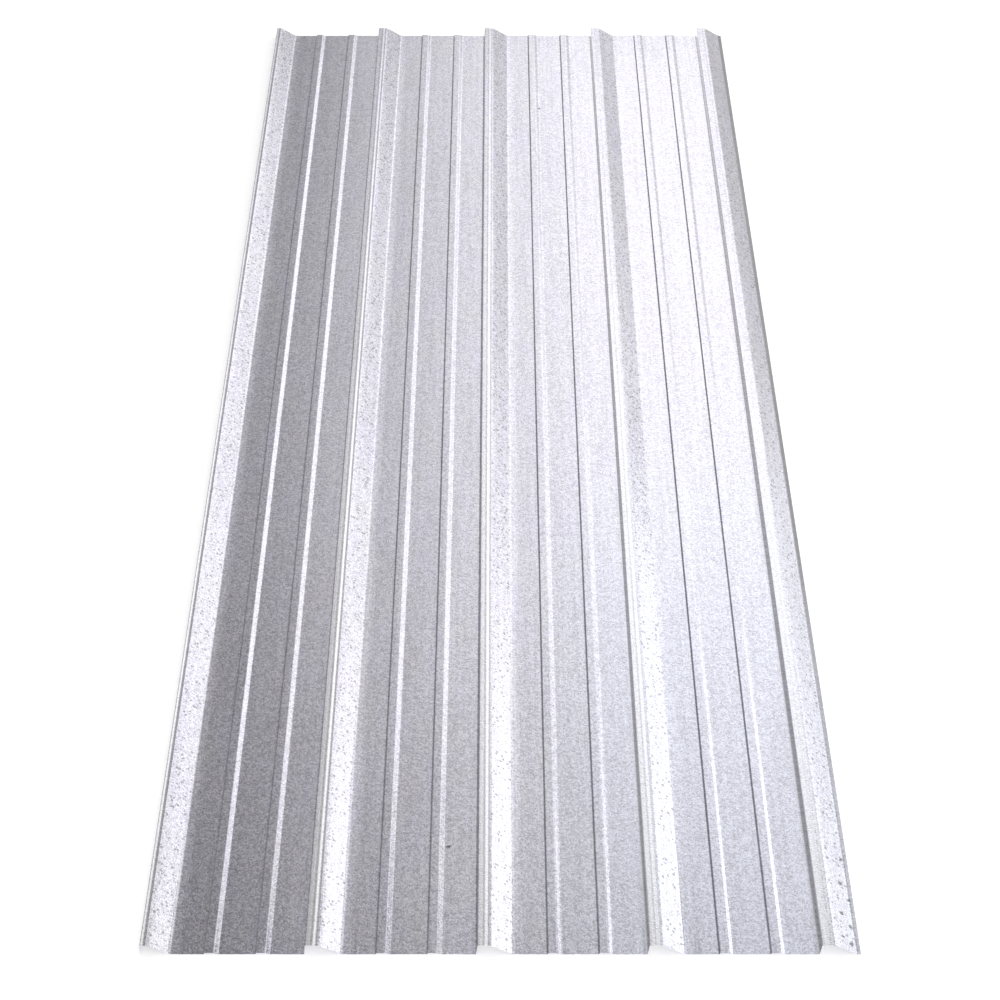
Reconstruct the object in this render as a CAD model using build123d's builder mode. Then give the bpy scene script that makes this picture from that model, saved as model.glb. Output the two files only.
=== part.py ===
from build123d import *
import os
from math import atan2, sqrt, tan

os.makedirs("parts", exist_ok=True)

# Ribbed sheet of galvanised steel, roll formed from one flat strip, lying on its pans.
# Width runs along X, length along Y and the ribs stand up along +Z.
# The origin is under the middle of the sheet, on the plane that the pans lie on.
# The section is drawn along the middle of the metal, and every height is from pan to crown.

# Strip
sheet_length = 2438.4
thickness = 0.4

# Major ribs: nearly upright on the left, a flat crown, and a long slope on the right.
# The bends into and out of the slope are gentle, and those of the upright web are tight.
major_count = 5
major_pitch = 228.6
major_height = 19.05
major_left_run = 2.0
major_crown = 17.0
major_right_run = 30.0
major_left_bend_radius = 1.2
major_crown_bend_radius = 16.0
major_foot_bend_radius = 10.0

# Flares: right of a major rib, the pan eases up to the foot of the rib's slope, over a very gentle bend
# and then a straight stretch that goes on at least this far beyond the bend at the rib's foot
flare_rise = 0.7
flare_bend_radius = 200.0
flare_spare_straight = 0.126

# Minor ribs: low stiffening ribs of the same hand, in a group about the middle of each pan
minor_count = 2
minor_spacing = 68.6
minor_height = 2.5
minor_left_run = 1.5
minor_crown = 12.0
minor_right_run = 6.0
minor_left_bend_radius = 1.2
minor_right_bend_radius = 5.0

# Side laps: the first rib has an upright bearing leg, this far in from where a whole rib's left foot
# would be, and goes under the last rib of the next sheet. The right web of that last rib ends in
# a narrow lip that lies on this sheet's flare, at the same slope.
leg_place = 11.0
lip_width = 6.0

# Worked out from the sizes above
major_base = major_left_run + major_crown + major_right_run
minor_base = minor_left_run + minor_crown + minor_right_run
right_edge = (major_count - 1) * major_pitch + major_base + lip_width
left_edge = leg_place - thickness / 2
middle = (left_edge + right_edge) / 2
pan_level = thickness / 2

# How far a flare runs to gain its rise: its bend turns through twice the angle with this tangent
foot_bend_reach = major_foot_bend_radius * tan(atan2(major_height, major_right_run) / 2)
flare_straight = foot_bend_reach + flare_spare_straight
width_left = 2 * flare_bend_radius - flare_rise
half_turn_tangent = (sqrt(flare_straight**2 + flare_rise * width_left) - flare_straight) / width_left
flare_length = flare_straight + flare_bend_radius * half_turn_tangent
flare_run = sqrt(flare_length**2 - flare_rise**2)

# Radii of a rib's bends, from its left foot to its right foot and the end of its flare
major_radii = [
    major_left_bend_radius,
    major_left_bend_radius,
    major_crown_bend_radius,
    major_foot_bend_radius,
    flare_bend_radius,
]
minor_radii = [
    minor_left_bend_radius,
    minor_left_bend_radius,
    minor_right_bend_radius,
    minor_right_bend_radius,
]


def rib_corners(foot, height, left_run, crown, right_run, right_level):
    """Corners of one rib, from its left foot to its right foot, before they are bent round."""
    crown_left = foot + left_run
    crown_right = crown_left + crown
    return [
        (foot, pan_level),
        (crown_left, pan_level + height),
        (crown_right, pan_level + height),
        (crown_right + right_run, right_level),
    ]


def major_rib(foot, flare_end):
    """Corners of a major rib whose left foot is at this place, with its flare up to this far from it."""
    corners = rib_corners(
        foot, major_height, major_left_run, major_crown, major_right_run, pan_level + flare_rise
    )
    end_level = pan_level + flare_rise * (1 - flare_end / flare_run)
    return corners + [(foot + major_base + flare_end, end_level)]


def minor_ribs(pan_middle):
    """Corners of the minor ribs of one pan, spaced evenly about its middle."""
    corners = []
    for number in range(minor_count):
        centre = pan_middle + (number - (minor_count - 1) / 2) * minor_spacing
        foot = centre - minor_base / 2
        corners += rib_corners(
            foot, minor_height, minor_left_run, minor_crown, minor_right_run, pan_level
        )
    return corners


# Section: the corners from the left edge to the right edge, each with the radius that it is bent to.
# Both edges are rounded off by half the thickness, so the strip's middle line stops that far short.
first_foot = -middle
corners = []
radii = []
for number in range(major_count):
    foot = first_foot + number * major_pitch
    is_last = number == major_count - 1
    rib = major_rib(foot, lip_width - thickness / 2 if is_last else flare_run)
    if number == 0:
        leg_x = foot + leg_place
        rib = [(leg_x, pan_level), (leg_x, pan_level + major_height)] + rib[2:]
    corners += rib
    radii += major_radii
    if not is_last:
        pan_middle = foot + (major_base + major_pitch) / 2
        corners += minor_ribs(pan_middle)
        radii += minor_radii * minor_count

# Ribbed sheet: the bent strip, as thick as the metal, run along the whole length
with BuildPart() as ribbed_sheet:
    with BuildSketch(Plane.XZ) as section:
        with BuildLine() as strip:
            FilletPolyline(*corners, radius=radii[1:-1])
            offset(amount=thickness / 2, side=Side.BOTH)
        make_face()
    extrude(amount=sheet_length / 2, both=True)
ribbed_sheet.part.label = "ribbed_sheet"
export_step(ribbed_sheet.part, "parts/ribbed_sheet.step")
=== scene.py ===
"""Looks of a ribbed sheet of galvanised steel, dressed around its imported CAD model."""

import logging
import math
from dataclasses import dataclass
from enum import Enum
from functools import reduce

import bmesh
import bpy
from mathutils import Matrix, Vector, noise


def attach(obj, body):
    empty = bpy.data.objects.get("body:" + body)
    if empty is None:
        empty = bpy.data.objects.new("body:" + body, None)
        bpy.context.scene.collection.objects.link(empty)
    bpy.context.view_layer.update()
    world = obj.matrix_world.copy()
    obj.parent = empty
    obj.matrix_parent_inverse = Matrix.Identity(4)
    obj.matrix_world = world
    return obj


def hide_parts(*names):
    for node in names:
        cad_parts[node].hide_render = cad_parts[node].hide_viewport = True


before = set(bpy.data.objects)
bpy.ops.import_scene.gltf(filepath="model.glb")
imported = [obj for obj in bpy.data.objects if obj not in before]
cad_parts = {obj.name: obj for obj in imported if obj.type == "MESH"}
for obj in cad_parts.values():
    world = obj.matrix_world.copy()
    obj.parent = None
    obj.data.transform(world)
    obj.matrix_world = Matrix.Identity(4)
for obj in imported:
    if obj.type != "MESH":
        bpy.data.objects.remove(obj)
log = logging.getLogger("ribbed_sheet")

IMAGE_SIDE = 1000  # pixels across the picture and down it

Triple = tuple[float, float, float]  # one number for each axis
Colour = tuple[float, float, float]
Paint = Colour | bpy.types.NodeSocket  # a colour, or the socket that gives it
Stretch = tuple[float, float]  # where a change starts and where it is complete


class Signal:
    """A number on a shader socket, which Python expressions can work with."""

    def __init__(self, graph: "Graph", socket: bpy.types.NodeSocket) -> None:
        """Wraps one output socket.

        Args:
            graph: The graph that new Math nodes go into.
            socket: The output socket that carries the number.
        """
        self.graph = graph
        self.socket = socket

    def math(self, operation: str, *values: "Signal | float") -> "Signal":
        """Adds a Math node whose first input is this signal.

        Args:
            operation: The Math node's operation.
            values: The other inputs, in order.

        Returns:
            The node's result.
        """
        return self.graph.math(operation, self, *values)

    def __add__(self, other: "Signal | float") -> "Signal":
        """Sum."""
        return self.math("ADD", other)

    def __radd__(self, other: float) -> "Signal":
        """Sum, with the number first."""
        return self.math("ADD", other)

    def __sub__(self, other: "Signal | float") -> "Signal":
        """Difference."""
        return self.math("SUBTRACT", other)

    def __rsub__(self, other: float) -> "Signal":
        """Difference, with the number first."""
        return self.graph.math("SUBTRACT", other, self)

    def __mul__(self, other: "Signal | float") -> "Signal":
        """Product."""
        return self.math("MULTIPLY", other)

    def __rmul__(self, other: float) -> "Signal":
        """Product, with the number first."""
        return self.math("MULTIPLY", other)

    def __truediv__(self, other: "Signal | float") -> "Signal":
        """Quotient."""
        return self.math("DIVIDE", other)

    def __rtruediv__(self, other: float) -> "Signal":
        """Quotient, with the number first."""
        return self.graph.math("DIVIDE", other, self)

    def most(self, other: "Signal | float") -> "Signal":
        """Greater of two."""
        return self.math("MAXIMUM", other)

    def least(self, other: "Signal | float") -> "Signal":
        """Lesser of two."""
        return self.math("MINIMUM", other)

    def ramp(self, stretch: Stretch) -> "Signal":
        """Rises from zero at a stretch's start to one at its end, and stays level beyond both."""
        inputs = {"Value": self, "From Min": stretch[0], "From Max": stretch[1]}
        return self.graph.signal(self.graph.add("ShaderNodeMapRange", None, inputs), "Result")


class Graph:
    """The node graph of a material, a lamp or the world."""

    def __init__(self, tree: bpy.types.NodeTree) -> None:
        """Takes over a node tree and empties it.

        Args:
            tree: The tree to build in.
        """
        self.tree = tree
        self.tree.nodes.clear()

    def add(self, kind: str, settings: dict | None = None, inputs: dict | None = None) -> bpy.types.Node:
        """Adds one node.

        Args:
            kind: The node's type, such as "ShaderNodeTexNoise".
            settings: Its own settings, which are set first.
            inputs: Its sockets by name or number, each with a value or with what is linked to it.

        Returns:
            The new node.
        """
        node = self.tree.nodes.new(kind)
        for name, value in (settings or {}).items():
            setattr(node, name, value)
        for name, value in (inputs or {}).items():
            if isinstance(value, Signal):
                value = value.socket
            if isinstance(value, bpy.types.NodeSocket):
                self.tree.links.new(value, node.inputs[name])
            else:
                node.inputs[name].default_value = value
        return node

    def signal(self, node: bpy.types.Node, name: str) -> Signal:
        """Wraps one output of a node, found by name."""
        return Signal(self, node.outputs[name])

    def math(self, operation: str, *values: Signal | float) -> Signal:
        """Adds a Math node.

        Args:
            operation: The node's operation.
            values: Its inputs, in order.

        Returns:
            Its result.
        """
        node = self.add("ShaderNodeMath", {"operation": operation}, dict(enumerate(values)))
        return self.signal(node, "Value")

    def channel(self, colour: bpy.types.NodeSocket, name: str) -> Signal:
        """Takes one channel of a colour, found by name."""
        return self.signal(self.add("ShaderNodeSeparateColor", None, {"Color": colour}), name)

    def scaled(self, point: bpy.types.NodeSocket, scale: Triple) -> bpy.types.NodeSocket:
        """Multiplies each axis of a vector by a number of its own."""
        node = self.add("ShaderNodeVectorMath", {"operation": "MULTIPLY"}, {0: point, 1: scale})
        return node.outputs["Vector"]

    def cells(self, point: bpy.types.NodeSocket, size: float) -> bpy.types.Node:
        """Adds a pattern of random cells of about this size."""
        return self.add("ShaderNodeTexVoronoi", None, {"Vector": point, "Scale": 1 / size})

    def noise(self, point: bpy.types.NodeSocket, waves: Triple) -> Signal:
        """Adds a noise, about one half.

        Args:
            point: The coordinates.
            waves: How many waves it has in a metre along each axis.

        Returns:
            The noise.
        """
        inputs = {"Vector": self.scaled(point, waves), "Scale": 1.0, "Detail": 2.0, "Roughness": 0.6}
        return self.signal(self.add("ShaderNodeTexNoise", None, inputs), "Fac")

    def mix(self, share: Signal, first: Paint, second: Paint) -> bpy.types.NodeSocket:
        """Mixes two colours.

        Args:
            share: How much of the second colour there is.
            first: The first colour.
            second: The second colour.

        Returns:
            The mixed colour.
        """
        settings = {"data_type": "RGBA", "clamp_factor": True}
        ends = [end if isinstance(end, bpy.types.NodeSocket) else (*end, 1.0) for end in (first, second)]
        # The node has a set of sockets for each kind of value: 6, 7 and 2 are those for colours
        return self.add("ShaderNodeMix", settings, {0: share, 6: ends[0], 7: ends[1]}).outputs[2]


@dataclass(frozen=True)
class RibLayout:
    """Where the ribs stand across the sheet, from its middle."""

    first_foot: float = -0.4901
    pitch: float = 0.2286
    base: float = 0.049
    low_feet: tuple[float, float] = (0.09475, 0.16335)

    def place(self, across: float) -> float:
        """Place within one rib and its pan, from the rib's left foot."""
        return (across - self.first_foot) % self.pitch


@dataclass(frozen=True)
class Surface:
    """Where on the sheet a point of its surface is, as a material reads it."""

    graph: Graph
    ribs: RibLayout
    point: bpy.types.NodeSocket
    across: Signal
    along: Signal
    in_pitch: Signal

    @classmethod
    def read(cls, graph: Graph, ribs: RibLayout) -> "Surface":
        """Reads the place of a point.

        Args:
            graph: The material's node graph.
            ribs: The layout of the ribs.

        Returns:
            The point itself, its places across and along the sheet, and its place within its pitch.
        """
        point = graph.add("ShaderNodeTexCoord").outputs["Object"]
        axes = graph.add("ShaderNodeSeparateXYZ", None, {"Vector": point})
        across, along = graph.signal(axes, "X"), graph.signal(axes, "Y")
        in_pitch = (across - (ribs.first_foot - ribs.pitch)).math("MODULO", ribs.pitch)
        return cls(graph, ribs, point, across, along, in_pitch)

    def on_rib(self) -> Signal:
        """One on the tall ribs and zero between them."""
        return (self.ribs.base - self.in_pitch).math("GREATER_THAN", 0.0)


@dataclass(frozen=True)
class PaintedHighlight:
    """Painted highlight: a near-white colour on the tall ribs' crowns, and on the left webs on the right
    half.

    Places are from a rib's left foot, but web_foot is from the next rib's, and web_side from the middle.
    """

    colour: Colour = (0.97, 0.96, 0.98)
    crown_left: Stretch = (0.0026, 0.0034)
    crown_right: Stretch = (0.0185, 0.0165)
    crown_share: float = 0.26
    loss_along: float = 0.25
    loss_across: float = 0.35
    web_top: Stretch = (0.0034, 0.0022)
    web_foot: Stretch = (-0.0014, -0.0008)
    web_side: Stretch = (0.05, 0.20)

    def share(self, surface: Surface) -> Signal:
        """Works out how much painted highlight there is.

        Args:
            surface: The place on the sheet.

        Returns:
            The share of painted highlight.
        """
        pitch, in_pitch = surface.ribs.pitch, surface.in_pitch
        crown = in_pitch.ramp(self.crown_right) * in_pitch.ramp(self.crown_left)
        foot = in_pitch.ramp((pitch + self.web_foot[0], pitch + self.web_foot[1]))
        web = in_pitch.ramp(self.web_top).most(foot) * surface.across.ramp(self.web_side)
        # The crowns' painted highlight is weaker towards +Y and +X
        level = self.crown_share - surface.along * self.loss_along - surface.across * self.loss_across
        return (crown * level).most(web)


@dataclass(frozen=True)
class LastRibDarkening:
    """A darker grey on the last rib's slope and lip, less of it towards the -Y end."""

    colour: Colour = (0.30, 0.295, 0.31)
    left: Stretch = (0.4430, 0.4460)
    fade: Stretch = (-1.2, -0.4)
    near_share: float = 0.18
    far_share: float = 0.37

    def far(self, surface: Surface) -> Signal:
        """Zero at the -Y end and one from some way along the sheet."""
        return surface.along.ramp(self.fade)

    def share(self, surface: Surface) -> Signal:
        """Works out how much of the darker grey there is."""
        level = self.far(surface) * (self.far_share - self.near_share) + self.near_share
        return surface.across.ramp(self.left) * level


@dataclass(frozen=True)
class CreaseShadeAndGrime:
    """Painted shade, with some grime, in the crease at the left foot of each low rib."""

    width: float = 0.0022
    share_of_dirt_and_shade: float = 0.22

    def share(self, surface: Surface) -> Signal:
        """Works out how much painted shade and grime there is.

        Args:
            surface: The place on the sheet.

        Returns:
            The share of painted shade and grime.
        """
        # Painted shade with some grime, strongest at each low rib's left foot
        shares = [
            (1.0 - (surface.in_pitch - foot).math("ABSOLUTE") / self.width) * self.share_of_dirt_and_shade
            for foot in surface.ribs.low_feet
        ]
        return reduce(Signal.most, shares)


@dataclass(frozen=True)
class Flecks:
    """Dark flecks on the tall ribs, where the zinc is thin: most are on the slopes."""

    spacing: float = 0.0055
    size: float = 0.50
    sharpness: float = 4.0
    share_of_dirt_and_shade: float = 0.52
    slope_left: Stretch = (0.0170, 0.0230)
    crown_level: float = 0.25

    def share(self, surface: Surface) -> Signal:
        """Works out how dark the metal is flecked.

        Args:
            surface: The place on the sheet.

        Returns:
            The share of dirt.
        """
        graph = surface.graph
        cells = graph.cells(surface.point, self.spacing)
        size = graph.channel(cells.outputs["Color"], "Green") * self.size
        depth = (size - graph.signal(cells, "Distance")) * (self.sharpness / self.size)
        level = surface.in_pitch.ramp(self.slope_left) * (1.0 - self.crown_level) + self.crown_level
        return depth.least(1.0) * self.share_of_dirt_and_shade * (surface.on_rib() * level)


@dataclass(frozen=True)
class LipDarkening:
    """A darker colour on the lip along the right edge, which fades out towards the -Y end as the last rib's
    darker grey does.
    """

    left: Stretch = (0.4715, 0.4745)
    share_of_dirt_and_shade: float = 0.72

    def share(self, surface: Surface, far: Signal) -> Signal:
        """Works out how much of the darker colour there is."""
        return surface.across.ramp(self.left) * far * self.share_of_dirt_and_shade


@dataclass(frozen=True)
class Spot:
    """One small dark mark on the metal, seen from above."""

    across: float
    along: float
    radius: float


@dataclass(frozen=True)
class Spots:
    """Small dark marks with frayed edges: two on the pans, and the others on the last rib's slope."""

    fray: float = 2.0
    sharpness: float = 2.0
    share_of_dirt_and_shade: float = 0.8
    marks: tuple[Spot, ...] = (
        Spot(0.0827, 0.919, 0.0034),
        Spot(-0.0720, -1.036, 0.0036),
        Spot(0.4710, -1.060, 0.0030),
        Spot(0.4640, -1.105, 0.0036),
        Spot(0.4725, -1.130, 0.0028),
        Spot(0.4600, -1.158, 0.0040),
        Spot(0.4700, -1.176, 0.0034),
        Spot(0.4570, -1.198, 0.0030),
        Spot(0.4680, -1.206, 0.0042),
    )

    def share(self, surface: Surface, speck: Signal) -> Signal:
        """Works out how dark the metal is marked.

        Args:
            surface: The place on the sheet.
            speck: A fine noise that frays the edges.

        Returns:
            The share of dirt.
        """
        graph = surface.graph
        flat = graph.scaled(surface.point, (1.0, 1.0, 0.0))
        shares = []
        for spot in self.marks:
            middle = (spot.across, spot.along, 0.0)
            node = graph.add("ShaderNodeVectorMath", {"operation": "DISTANCE"}, {0: flat, 1: middle})
            away = graph.signal(node, "Value") / spot.radius + (speck - 0.5) * self.fray
            shares.append(((1.0 - away) * self.sharpness).least(self.share_of_dirt_and_shade))
        return reduce(Signal.most, shares)


@dataclass(frozen=True)
class ZincFinish:
    """Hot-dip zinc on steel: a fine frosted spangle, cool grey and half dull, with a few dark marks, a
    painted highlight on the tall ribs, and painted shade with some grime in the low ribs' creases.
    """

    name: str = "galvanised_zinc"
    dark: Colour = (0.43, 0.42, 0.465)
    light: Colour = (0.80, 0.78, 0.89)
    plain_light: Colour = (0.80, 0.787, 0.83)
    cool_light: Colour = (0.762, 0.785, 0.89)
    cool_across: Stretch = (0.0, 0.2)
    cool_along: Stretch = (0.1, -0.6)
    # Dark colour for real spots and flecks, the darker lip, and painted shade with some grime in the low
    # ribs' creases
    dirt_and_shade: Colour = (0.10, 0.095, 0.09)
    crystal: float = 0.0034
    speck: float = 0.0021
    streak_waves: Triple = (160.0, 4.0, 160.0)
    patch_waves: Triple = (22.0, 7.0, 22.0)
    crystal_tone: float = 0.5
    speck_tone: float = 2.3
    streak_tone: float = 0.5
    patch_tone: float = 3.0
    roughness: float = 0.15
    crystal_roughness: float = 0.10
    speck_roughness: float = 0.15
    crystal_height: float = 0.3
    speck_height: float = 0.7
    relief: float = 0.00014
    rib_relief: float = 0.00012
    ribs: RibLayout = RibLayout()
    painted_highlight: PaintedHighlight = PaintedHighlight()
    last_rib_darkening: LastRibDarkening = LastRibDarkening()
    crease_shade_and_grime: CreaseShadeAndGrime = CreaseShadeAndGrime()
    flecks: Flecks = Flecks()
    lip_darkening: LipDarkening = LipDarkening()
    spots: Spots = Spots()

    def material(self) -> bpy.types.Material:
        """Builds the material.

        Returns:
            The finished material.
        """
        material = bpy.data.materials.new(self.name)
        material.use_nodes = True
        graph = Graph(material.node_tree)
        surface = Surface.read(graph, self.ribs)
        crystal = graph.channel(graph.cells(surface.point, self.crystal).outputs["Color"], "Red")
        speck = graph.noise(surface.point, (1 / self.speck,) * 3)
        zinc = self._zinc(surface, crystal, speck)
        # Painted highlight: near-white mixed onto the tall ribs' crowns and onto the left webs on the right
        # half
        zinc = graph.mix(self.painted_highlight.share(surface), zinc, self.painted_highlight.colour)
        # A darker grey mixed onto the last rib's slope and lip, more of it away from the -Y end
        zinc = graph.mix(self.last_rib_darkening.share(surface), zinc, self.last_rib_darkening.colour)
        # One dark colour over painted shade with grime in the low ribs' creases, real spots and flecks, and
        # the darker lip
        dirt_and_shade = self.crease_shade_and_grime.share(surface).most(self.spots.share(surface, speck))
        dirt_and_shade = dirt_and_shade.most(self.flecks.share(surface))
        # A darker colour on the right edge's lip, fading out towards the -Y end
        dirt_and_shade = dirt_and_shade.most(self.lip_darkening.share(surface, self.last_rib_darkening.far(surface)))
        roughness = self.roughness + (crystal - 0.5) * self.crystal_roughness
        roughness = roughness + (speck - 0.5) * self.speck_roughness
        inputs = {
            "Base Color": graph.mix(dirt_and_shade, zinc, self.dirt_and_shade),
            "Metallic": 1.0,
            "Roughness": roughness,
            "Normal": self._bump(surface, crystal, speck),
        }
        shader = graph.add("ShaderNodeBsdfPrincipled", None, inputs)
        graph.add("ShaderNodeOutputMaterial", None, {"Surface": shader.outputs[0]})
        return material

    def _zinc(self, surface: Surface, crystal: Signal, speck: Signal) -> bpy.types.NodeSocket:
        """Colours the clean zinc, from dark to light grey by its grain, with the light grey in two tints.

        Args:
            surface: The place on the sheet.
            crystal: The random tone of each crystal.
            speck: The fine noise.

        Returns:
            The colour.
        """
        graph = surface.graph
        streak = graph.noise(surface.point, self.streak_waves)
        tone = 0.5 + (crystal - 0.5) * self.crystal_tone + (speck - 0.5) * self.speck_tone
        tone = tone + (streak - 0.5) * self.streak_tone
        patch = (graph.noise(surface.point, self.patch_waves) - 0.5) * self.patch_tone + 0.5
        cool = surface.across.ramp(self.cool_across) * surface.along.ramp(self.cool_along)
        light = graph.mix(cool, graph.mix(patch, self.plain_light, self.light), self.cool_light)
        return graph.mix(tone, self.dark, light)

    def _bump(self, surface: Surface, crystal: Signal, speck: Signal) -> bpy.types.NodeSocket:
        """Raises the grain, higher on the tall ribs than between them.

        Args:
            surface: The place on the sheet.
            crystal: The random height of each crystal.
            speck: The fine noise.

        Returns:
            The surface's normal.
        """
        height = speck * self.speck_height + crystal * self.crystal_height
        relief = self.relief + surface.on_rib() * self.rib_relief
        inputs = {"Height": height, "Distance": relief, "Strength": 1.0}
        return surface.graph.add("ShaderNodeBump", None, inputs).outputs["Normal"]


@dataclass(frozen=True)
class FloorFinish:
    """Matt white studio floor, lifted a little where it is seen or mirrored."""

    name: str = "pale_floor"
    colour: Colour = (0.90, 0.90, 0.90)
    roughness: float = 0.9
    lift: float = 0.42

    def material(self) -> bpy.types.Material:
        """Builds the material.

        Returns:
            The finished material.
        """
        material = bpy.data.materials.new(self.name)
        material.use_nodes = True
        graph = Graph(material.node_tree)
        inputs = {"Base Color": (*self.colour, 1.0), "Roughness": self.roughness, "Specular IOR Level": 0.0}
        shader = graph.add("ShaderNodeBsdfPrincipled", None, inputs)
        path = graph.add("ShaderNodeLightPath")
        camera, glossy, through = (
            graph.signal(path, f"Is {kind} Ray") for kind in ("Camera", "Glossy", "Transmission")
        )
        inputs = {"Color": (1.0, 1.0, 1.0, 1.0), "Strength": (camera + glossy + through) * self.lift}
        glow = graph.add("ShaderNodeEmission", None, inputs)
        surface = graph.add("ShaderNodeAddShader", None, {0: shader.outputs[0], 1: glow.outputs[0]})
        graph.add("ShaderNodeOutputMaterial", None, {"Surface": surface.outputs[0]})
        return material


@dataclass
class RibbedSheet:
    """The one rolled sheet: its CAD solid, with the tenths of a millimetre that rolling leaves in it.

    The places of the folds and of the hog, a pan's highest line, are from a rib's left foot.
    """

    node: str = "ribbed_sheet"
    length: float = 2.4384
    width: float = 0.9586
    height: float = 0.01945
    ribs: RibLayout = RibLayout()
    strip_width: float = 0.004
    slice_length: float = 0.08
    weld: float = 1e-6
    end_lean: float = 0.5
    flatness: float = 0.01
    sharp_angle: float = math.radians(40)
    fold_place: float = 0.0135
    fold_pitch: float = 0.0080
    fold_depth: float = 0.00028
    fold_middle: float = 0.0158
    fold_reach: float = 0.0060
    fold_strip_width: float = 0.0007
    fold_strips_each_side: int = 13
    hog: float = 0.0003
    hog_place: float = 0.1830
    buckle: float = 0.00010
    buckle_size: tuple[float, float] = (0.14, 0.6)
    buckle_onset: float = 20.0

    def build(self) -> bpy.types.Object:
        """Builds and dresses the sheet.

        Returns:
            The finished piece.
        """
        sheet = bpy.data.objects.new("rolled_sheet", self._mesh())
        bpy.context.scene.collection.objects.link(sheet)
        sheet.data.materials.append(ZincFinish().material())
        weighted = sheet.modifiers.new("flat_faces", "WEIGHTED_NORMAL")
        weighted.keep_sharp = True
        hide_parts(self.node)
        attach(sheet, "root")
        return sheet

    def _mesh(self) -> bpy.types.Mesh:
        """Cuts the CAD mesh into strips and slices, and moves them by the relief.

        Returns:
            The sheet's mesh.
        """
        shape = bmesh.new()
        shape.from_mesh(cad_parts[self.node].data)
        bmesh.ops.remove_doubles(shape, verts=shape.verts, dist=self.weld)
        walls = [face for face in shape.faces if abs(face.normal.y) < self.end_lean]
        bmesh.ops.join_triangles(
            shape, faces=walls, angle_face_threshold=self.flatness, angle_shape_threshold=math.pi
        )
        for place in self._cuts_across():
            self._cut(shape, (place, 0.0, 0.0), (1.0, 0.0, 0.0))
        for number in range(1, round(self.length / self.slice_length)):
            self._cut(shape, (0.0, number * self.slice_length - self.length / 2, 0.0), (0.0, 1.0, 0.0))
        for vertex in shape.verts:
            vertex.co.z += self._relief(vertex.co)
        for face in shape.faces:
            face.smooth = True
        mesh = bpy.data.meshes.new("rolled_sheet")
        shape.to_mesh(mesh)
        shape.free()
        mesh.set_sharp_from_angle(angle=self.sharp_angle)
        return mesh

    def _cut(self, shape: bmesh.types.BMesh, point: Triple, normal: Triple) -> None:
        """Cuts the shape along a plane, and keeps both sides."""
        geometry = [*shape.verts, *shape.edges, *shape.faces]
        bmesh.ops.bisect_plane(shape, geom=geometry, dist=self.weld, plane_co=point, plane_no=normal)

    def _cuts_across(self) -> list[float]:
        """Finds where the sheet is cut lengthwise: at even strips, and closely at the folds of the ribs.

        Returns:
            The places of the cuts across the sheet.
        """
        count = round(self.width / self.strip_width)
        places = [number * self.strip_width - self.width / 2 for number in range(1, count)]
        for rib in range(round(self.width / self.ribs.pitch) + 1):
            middle = self.ribs.first_foot + rib * self.ribs.pitch + self.fold_middle
            steps = range(-self.fold_strips_each_side, self.fold_strips_each_side + 1)
            places += [middle + step * self.fold_strip_width for step in steps]
        return places

    def _relief(self, point: Vector) -> float:
        """Works out how far rolling has moved a point of the sheet up or down.

        Each pan rises slightly up to its second low rib and falls from there, and buckles a little along its
        length. On each tall rib the rolls leave two fine folds between the crown and the slope.

        Args:
            point: The point on the true section.

        Returns:
            The change of its height.
        """
        across = self.ribs.place(point.x)
        if across > self.ribs.base:
            rise = (across - self.ribs.base) / (self.hog_place - self.ribs.base)
            fall = (self.ribs.pitch - across) / (self.ribs.pitch - self.hog_place)
            wave = noise.noise(Vector((point.x / self.buckle_size[0], point.y / self.buckle_size[1], 0.0)))
            buckle = self.buckle * min(self.buckle_onset * rise, fall, 1.0) * (0.5 + 0.5 * wave)
            return self.hog * min(rise, fall) + buckle
        turn = 2 * math.pi * (across - self.fold_place) / self.fold_pitch
        reach = math.exp(-(((across - self.fold_middle) / self.fold_reach) ** 2))
        return -self.fold_depth * reach * (point.z / self.height) ** 2 * (1.0 + math.sin(turn))


class Wall(Enum):
    """Walls that softboxes hang on, each with the names of its outward, across and upward axes."""

    END = ("Y", "X", "Z")
    SIDE = ("X", "Y", "Z")
    TOP = ("Z", "X", "Y")

    def point(self, away: float, across: float, upward: float) -> Vector:
        """Places a point of this wall in the room."""
        place = dict(zip(self.value, (away, across, upward)))
        return Vector((place["X"], place["Y"], place["Z"]))


@dataclass(frozen=True)
class Span:
    """A stretch along one axis, with the places between which the light comes in and goes out."""

    low: float
    high: float
    comes: Stretch | None = None
    goes: Stretch | None = None

    @property
    def length(self) -> float:
        """Length of the stretch."""
        return self.high - self.low

    @property
    def middle(self) -> float:
        """Middle of the stretch."""
        return (self.low + self.high) / 2

    def level(self, place: Signal, late: Signal | float = 0.0) -> Signal | float:
        """Works out how much of the light there is at a place along this axis.

        Args:
            place: The place along this axis.
            late: How much further along the light comes in here.

        Returns:
            Zero before the light comes and after it goes, and one in between.
        """
        level = 1.0
        if self.comes:
            level = (place - late).ramp(self.comes)
        if self.goes:
            level = place.ramp(self.goes[::-1]) * level
        return level


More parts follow.
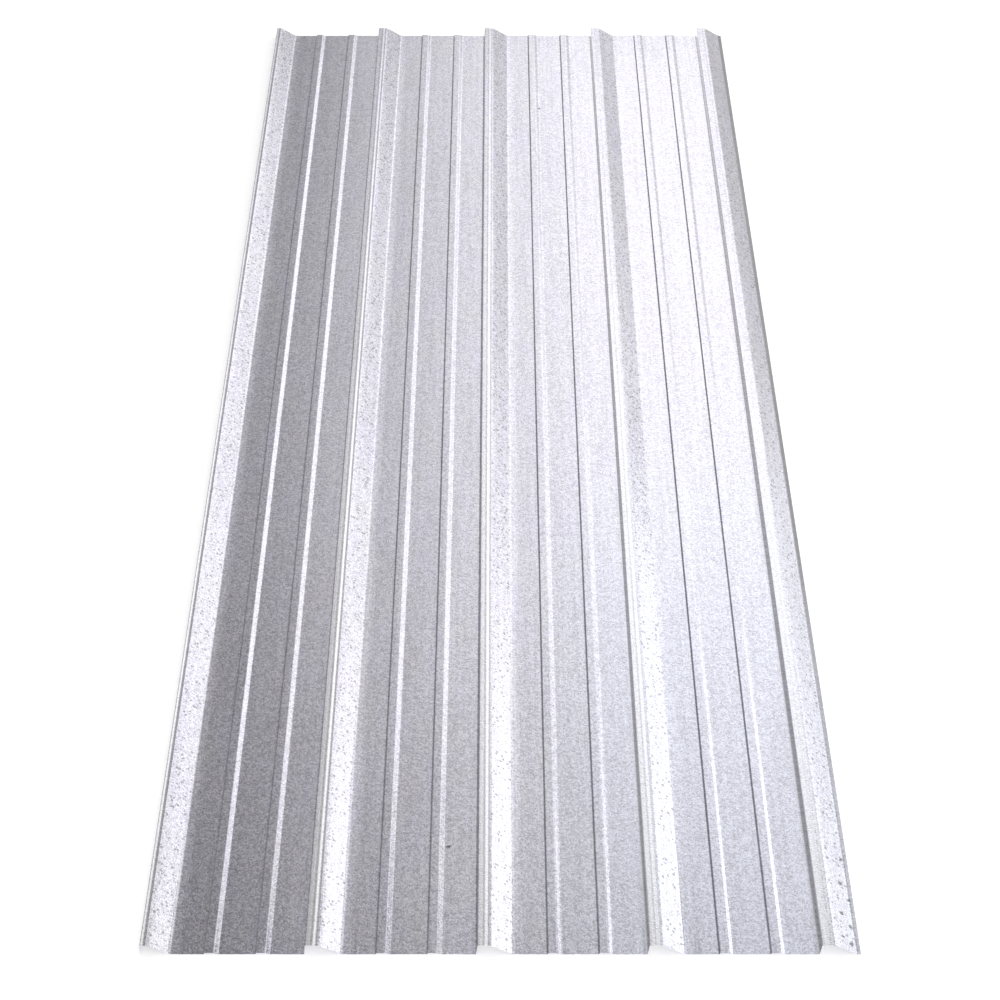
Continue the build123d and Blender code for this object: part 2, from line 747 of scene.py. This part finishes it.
@dataclass(frozen=True)
class Softbox:
    """A softbox whose light fades over its face, on a wall at some distance from the room's middle."""

    name: str
    wall: Wall
    distance: float
    across: Span
    upward: Span
    brightness: float
    fan: float = 0.0
    fan_middle: float = 0.0
    rise: float = 0.0

    def build(self) -> bpy.types.Object:
        """Hangs the softbox.

        Returns:
            The lamp's object.
        """
        light = bpy.data.lights.new(self.name, "AREA")
        light.shape = "RECTANGLE"
        light.size = self.across.length
        light.size_y = self.upward.length
        light.energy = self.brightness * math.pi * light.size * light.size_y
        self._fade(light)
        lamp = bpy.data.objects.new(self.name, light)
        bpy.context.scene.collection.objects.link(lamp)
        away = self.wall.point(math.copysign(1.0, self.distance), 0.0, 0.0)
        right = self.wall.point(0.0, 1.0, 0.0)
        middle = self.wall.point(self.distance, self.across.middle, self.upward.middle)
        axes = Matrix((right, away.cross(right), away)).transposed()
        lamp.matrix_world = Matrix.Translation(middle) @ axes.to_4x4()
        lamp.visible_camera = False
        return lamp

    def _fade(self, light: bpy.types.AreaLight) -> None:
        """Gives the lamp its fades: those across it fan out with height, and its lower edge rises across it.

        Args:
            light: The lamp's data.
        """
        light.use_nodes = True
        graph = Graph(light.node_tree)
        place = graph.add("ShaderNodeNewGeometry").outputs["Position"]
        axes = graph.add("ShaderNodeSeparateXYZ", None, {"Vector": place})
        across, upward = (graph.signal(axes, name) for name in self.wall.value[1:])
        fanned = (across - self.fan_middle) / (upward * self.fan + 1.0) + self.fan_middle
        level = self.across.level(fanned) * self.upward.level(upward, across * self.rise)
        glow = graph.add("ShaderNodeEmission", None, {"Strength": level})
        graph.add("ShaderNodeOutputLight", None, {"Surface": glow.outputs[0]})


@dataclass
class Studio:
    """Floor, soft light and the camera, which looks down along the sheet from its near end."""

    floor_side: float = 200.0
    world_level: float = 0.48
    overhead_level: float = 0.22
    overhead: Stretch = (0.62, 0.88)
    principal_x: float = 496.8
    focal_pixels: float = 2192.9
    pitch_down: float = math.radians(41.29)
    camera_place: Triple = (-0.0052, -3.0116, 2.3786)
    sensor: float = 36.0

    def build(self) -> list[bpy.types.Object]:
        """Builds the floor, the lamps, the world and the camera.

        Returns:
            The studio's objects.
        """
        floor = self._floor()
        lamps = self._lamps()
        self._world()
        return [floor, *lamps, self._camera()]

    def _floor(self) -> bpy.types.Object:
        """Lays the floor at the level that the sheet stands on.

        Returns:
            The floor's object.
        """
        shape = bmesh.new()
        bmesh.ops.create_grid(shape, x_segments=1, y_segments=1, size=self.floor_side / 2)
        mesh = bpy.data.meshes.new("floor")
        shape.to_mesh(mesh)
        shape.free()
        floor = bpy.data.objects.new("floor", mesh)
        floor.data.materials.append(FloorFinish().material())
        bpy.context.scene.collection.objects.link(floor)
        return floor

    def _lamps(self) -> list[bpy.types.Object]:
        """Hangs the softboxes.

        Returns:
            The lamps' objects.
        """
        boxes = (
            Softbox(
                name="back",
                wall=Wall.END,
                distance=3.4,
                across=Span(-2.1, 3.2, comes=(-0.43, 0.13), goes=(0.45, 2.6)),
                upward=Span(0.6, 10.0, comes=(0.7, 1.25), goes=(3.4, 10.0)),
                brightness=1.15,
                fan=0.6,
                fan_middle=-0.129,
                rise=0.15,
            ),
            Softbox(
                name="low_back",
                wall=Wall.END,
                distance=3.35,
                across=Span(-0.5, 3.3, comes=(-0.4, 1.3)),
                upward=Span(0.02, 1.35, goes=(1.0, 1.35)),
                brightness=0.5,
            ),
            Softbox(
                name="right_back",
                wall=Wall.END,
                distance=3.3,
                across=Span(1.3, 3.3, comes=(1.9, 2.8)),
                upward=Span(0.4, 4.0, comes=(0.5, 0.9), goes=(2.6, 4.0)),
                brightness=0.45,
            ),
            Softbox(
                name="side",
                wall=Wall.SIDE,
                distance=3.3,
                across=Span(-1.6, 3.3, comes=(-1.6, 0.8)),
                upward=Span(0.5, 4.6, comes=(0.5, 0.6), goes=(2.2, 4.6)),
                brightness=1.4,
            ),
            Softbox(
                name="front",
                wall=Wall.END,
                distance=-3.5,
                across=Span(-2.6, 2.6, comes=(-2.4, 1.4)),
                upward=Span(0.3, 3.6, goes=(1.6, 3.6)),
                brightness=0.9,
            ),
            Softbox(
                name="top",
                wall=Wall.TOP,
                distance=5.0,
                across=Span(-2.5, 2.5),
                upward=Span(-4.0, 1.6, goes=(-1.2, 1.6)),
                brightness=1.25,
            ),
        )
        return [box.build() for box in boxes]

    def _world(self) -> None:
        """Fills the room with plain soft light that is dimmer overhead."""
        world = bpy.data.worlds.new("studio")
        bpy.context.scene.world = world
        world.use_nodes = True
        graph = Graph(world.node_tree)
        direction = graph.add("ShaderNodeTexCoord").outputs["Generated"]
        axes = graph.add("ShaderNodeSeparateXYZ", None, {"Vector": direction})
        dimmed = graph.signal(axes, "Z").ramp(self.overhead)
        level = dimmed * (self.overhead_level - self.world_level) + self.world_level
        light = graph.add("ShaderNodeBackground", None, {"Color": (1.0, 1.0, 1.0, 1.0), "Strength": level})
        graph.add("ShaderNodeOutputWorld", None, {"Surface": light.outputs[0]})

    def _camera(self) -> bpy.types.Object:
        """Sets up the camera of the photograph.

        Returns:
            The camera's object.
        """
        data = bpy.data.cameras.new("camera")
        data.sensor_width = self.sensor
        data.lens = self.focal_pixels * self.sensor / IMAGE_SIDE
        data.shift_x = (IMAGE_SIDE / 2 - self.principal_x) / IMAGE_SIDE
        camera = bpy.data.objects.new("camera", data)
        bpy.context.scene.collection.objects.link(camera)
        turn = Matrix.Rotation(math.pi / 2 - self.pitch_down, 4, "X")
        camera.matrix_world = Matrix.Translation(self.camera_place) @ turn
        bpy.context.scene.camera = camera
        return camera


def main() -> None:
    """Builds the studio and the sheet."""
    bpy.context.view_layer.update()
    bpy.context.scene.view_settings.view_transform = "Standard"
    for thing in Studio().build():
        log.info("studio: %s", thing.name)
    sheet = RibbedSheet().build()
    log.info("%s: %d faces", sheet.name, len(sheet.data.polygons))


if __name__ == "__main__":
    logging.basicConfig(level=logging.INFO)
    main()
